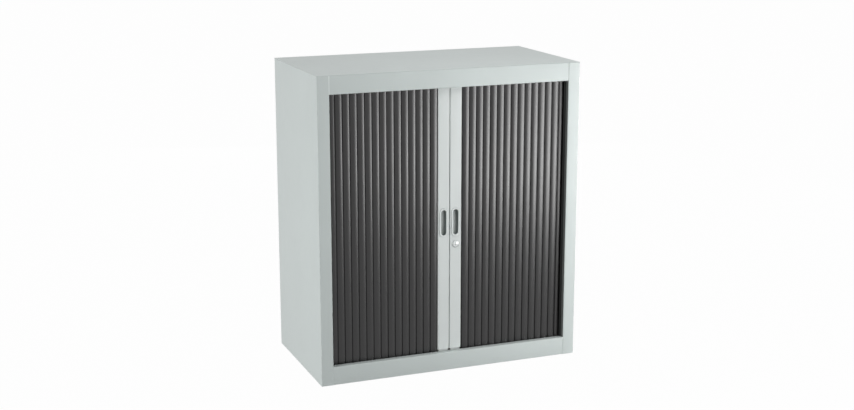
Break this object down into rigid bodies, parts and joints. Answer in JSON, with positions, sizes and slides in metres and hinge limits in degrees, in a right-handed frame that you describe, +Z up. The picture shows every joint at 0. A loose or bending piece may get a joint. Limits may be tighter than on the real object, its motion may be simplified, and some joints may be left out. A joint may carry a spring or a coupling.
{
  "type": "tambour door cabinet",
  "caption": "Low steel storage cabinet with tambour doors that slide round into the sides, flush grips, a lock in the closing post, and shelves inside.",
  "frame": {"origin": "middle of the underside, on the floor", "axes": "+Z up, +X to the right seen from the front, the doors face -Y"},
  "size_m": [0.9, 0.47, 1],
  "materials": {
    "carcase_paint": "satin",
    "inner_paint": "satin",
    "slat": "satin",
    "track": "matte",
    "grip": "satin",
    "lock_metal": "polished",
    "foot": "matte"
  },
  "bodies": {
    "cabinet": {"left_side_panel": "carcase_paint", "right_side_panel": "carcase_paint", "top_panel": "carcase_paint", "base_panel": "carcase_paint", "back_panel": "carcase_paint", "left_liner": "inner_paint", "right_liner": "inner_paint", "left_bottom_track": "track", "right_bottom_track": "track", "left_top_track": "track", "right_top_track": "track", "shelf_1": "inner_paint", "shelf_2": "inner_paint"},
    "left_door": {"left_closing_post": "carcase_paint", "left_grip": "grip", "striker_plate": "lock_metal"},
    "right_door": {"right_closing_post": "carcase_paint", "right_grip": "grip", "lock_housing": "lock_metal"},
    "lock": {"lock_plug": "lock_metal", "lock_cam": "lock_metal"},
    "front_left_foot": {"front_left_foot": "foot"},
    "front_right_foot": {"front_right_foot": "foot"},
    "rear_left_foot": {"rear_left_foot": "foot"},
    "rear_right_foot": {"rear_right_foot": "foot"},
    "left_slat_01": {"left_slat_01": "slat"},
    "left_slat_02": {"left_slat_02": "slat"},
    "left_slat_03": {"left_slat_03": "slat"},
    "left_slats_04_to_14": {"left_slat_04": "slat", "left_slat_05": "slat", "left_slat_06": "slat", "left_slat_07": "slat", "left_slat_08": "slat", "left_slat_09": "slat", "left_slat_10": "slat", "left_slat_11": "slat", "left_slat_12": "slat", "left_slat_13": "slat", "left_slat_14": "slat"},
    "left_slat_15": {"left_slat_15": "slat"},
    "left_slat_16": {"left_slat_16": "slat"},
    "left_slat_17": {"left_slat_17": "slat"},
    "right_slat_01": {"right_slat_01": "slat"},
    "right_slat_02": {"right_slat_02": "slat"},
    "right_slat_03": {"right_slat_03": "slat"},
    "right_slats_04_to_14": {"right_slat_04": "slat", "right_slat_05": "slat", "right_slat_06": "slat", "right_slat_07": "slat", "right_slat_08": "slat", "right_slat_09": "slat", "right_slat_10": "slat", "right_slat_11": "slat", "right_slat_12": "slat", "right_slat_13": "slat", "right_slat_14": "slat"},
    "right_slat_15": {"right_slat_15": "slat"},
    "right_slat_16": {"right_slat_16": "slat"},
    "right_slat_17": {"right_slat_17": "slat"}
  },
  "joints": [
    {"name": "left_door_slide", "type": "slide", "parent": "cabinet", "child": "left_door", "axis": [-1, 0, 0], "range_m": [0, 0.35515], "deforming": ["left_slat_01", "left_slat_02", "left_slat_03", "left_slat_04", "left_slat_05", "left_slat_06", "left_slat_07", "left_slat_08", "left_slat_09", "left_slat_10", "left_slat_11", "left_slat_12", "left_slat_13", "left_slat_14", "left_slat_15", "left_slat_16", "left_slat_17"]},
    {"name": "left_knuckle_01", "type": "hinge", "parent": "left_door", "child": "left_slat_01", "pos_m": [-0.04345, -0.206, 0.5], "axis": [0, 0, 1], "range_deg": [-17.83, 0]},
    {"name": "left_knuckle_02", "type": "hinge", "parent": "left_slat_01", "child": "left_slat_02", "pos_m": [-0.06795, -0.206, 0.5], "axis": [0, 0, 1], "range_deg": [-35.67, 0]},
    {"name": "left_knuckle_03", "type": "hinge", "parent": "left_slat_02", "child": "left_slat_03", "pos_m": [-0.09245, -0.206, 0.5], "axis": [0, 0, 1], "range_deg": [-31.57, 0]},
    {"name": "left_curtain_swing", "type": "hinge", "parent": "left_door", "child": "left_slats_04_to_14", "pos_m": [-0.0744, -0.19695, 0.5], "axis": [0, 0, 1], "range_deg": [-90, 0]},
    {"name": "left_knuckle_15", "type": "hinge", "parent": "left_slats_04_to_14", "child": "left_slat_15", "pos_m": [-0.38645, -0.206, 0.5], "axis": [0, 0, 1], "range_deg": [0, 4.52]},
    {"name": "left_knuckle_16", "type": "hinge", "parent": "left_slat_15", "child": "left_slat_16", "pos_m": [-0.41087, -0.20407, 0.5], "axis": [0, 0, 1], "range_deg": [0, 31.19]},
    {"name": "left_knuckle_17", "type": "hinge", "parent": "left_slat_16", "child": "left_slat_17", "pos_m": [-0.43077, -0.18977, 0.5], "axis": [0, 0, 1], "range_deg": [0, 35.67]},
    {"name": "right_door_slide", "type": "slide", "parent": "cabinet", "child": "right_door", "axis": [1, 0, 0], "range_m": [0, 0.35515], "deforming": ["right_slat_01", "right_slat_02", "right_slat_03", "right_slat_04", "right_slat_05", "right_slat_06", "right_slat_07", "right_slat_08", "right_slat_09", "right_slat_10", "right_slat_11", "right_slat_12", "right_slat_13", "right_slat_14", "right_slat_15", "right_slat_16", "right_slat_17"]},
    {"name": "right_knuckle_01", "type": "hinge", "parent": "right_door", "child": "right_slat_01", "pos_m": [0.04345, -0.206, 0.5], "axis": [0, 0, 1], "range_deg": [0, 17.83]},
    {"name": "right_knuckle_02", "type": "hinge", "parent": "right_slat_01", "child": "right_slat_02", "pos_m": [0.06795, -0.206, 0.5], "axis": [0, 0, 1], "range_deg": [0, 35.67]},
    {"name": "right_knuckle_03", "type": "hinge", "parent": "right_slat_02", "child": "right_slat_03", "pos_m": [0.09245, -0.206, 0.5], "axis": [0, 0, 1], "range_deg": [0, 31.57]},
    {"name": "right_curtain_swing", "type": "hinge", "parent": "right_door", "child": "right_slats_04_to_14", "pos_m": [0.0744, -0.19695, 0.5], "axis": [0, 0, 1], "range_deg": [0, 90]},
    {"name": "right_knuckle_15", "type": "hinge", "parent": "right_slats_04_to_14", "child": "right_slat_15", "pos_m": [0.38645, -0.206, 0.5], "axis": [0, 0, 1], "range_deg": [-4.52, 0]},
    {"name": "right_knuckle_16", "type": "hinge", "parent": "right_slat_15", "child": "right_slat_16", "pos_m": [0.41087, -0.20407, 0.5], "axis": [0, 0, 1], "range_deg": [-31.19, 0]},
    {"name": "right_knuckle_17", "type": "hinge", "parent": "right_slat_16", "child": "right_slat_17", "pos_m": [0.43077, -0.18977, 0.5], "axis": [0, 0, 1], "range_deg": [-35.67, 0]},
    {"name": "lock_turn", "type": "hinge", "parent": "right_door", "child": "lock", "pos_m": [0.021, -0.2, 0.422], "axis": [0, 1, 0], "range_deg": [0, 90]},
    {"name": "front_left_foot_screw", "type": "slide", "parent": "cabinet", "child": "front_left_foot", "axis": [0, 0, -1], "range_m": [0, 0.012]},
    {"name": "front_right_foot_screw", "type": "slide", "parent": "cabinet", "child": "front_right_foot", "axis": [0, 0, -1], "range_m": [0, 0.012]},
    {"name": "rear_left_foot_screw", "type": "slide", "parent": "cabinet", "child": "rear_left_foot", "axis": [0, 0, -1], "range_m": [0, 0.012]},
    {"name": "rear_right_foot_screw", "type": "slide", "parent": "cabinet", "child": "rear_right_foot", "axis": [0, 0, -1], "range_m": [0, 0.012]}
  ],
  "couplings": [
    {"joint": "left_knuckle_01", "follows": "left_door_slide", "rad_per_m": -0.87639},
    {"joint": "left_knuckle_02", "follows": "left_door_slide", "rad_per_m": -1.7528},
    {"joint": "left_knuckle_03", "follows": "left_door_slide", "rad_per_m": -1.5516},
    {"joint": "left_curtain_swing", "follows": "left_door_slide", "rad_per_m": -4.4229},
    {"joint": "left_knuckle_15", "follows": "left_door_slide", "rad_per_m": 0.222},
    {"joint": "left_knuckle_16", "follows": "left_door_slide", "rad_per_m": 1.5326},
    {"joint": "left_knuckle_17", "follows": "left_door_slide", "rad_per_m": 1.7528},
    {"joint": "right_knuckle_01", "follows": "right_door_slide", "rad_per_m": 0.87639},
    {"joint": "right_knuckle_02", "follows": "right_door_slide", "rad_per_m": 1.7528},
    {"joint": "right_knuckle_03", "follows": "right_door_slide", "rad_per_m": 1.5516},
    {"joint": "right_curtain_swing", "follows": "right_door_slide", "rad_per_m": 4.4229},
    {"joint": "right_knuckle_15", "follows": "right_door_slide", "rad_per_m": -0.222},
    {"joint": "right_knuckle_16", "follows": "right_door_slide", "rad_per_m": -1.5326},
    {"joint": "right_knuckle_17", "follows": "right_door_slide", "rad_per_m": -1.7528}
  ]
}
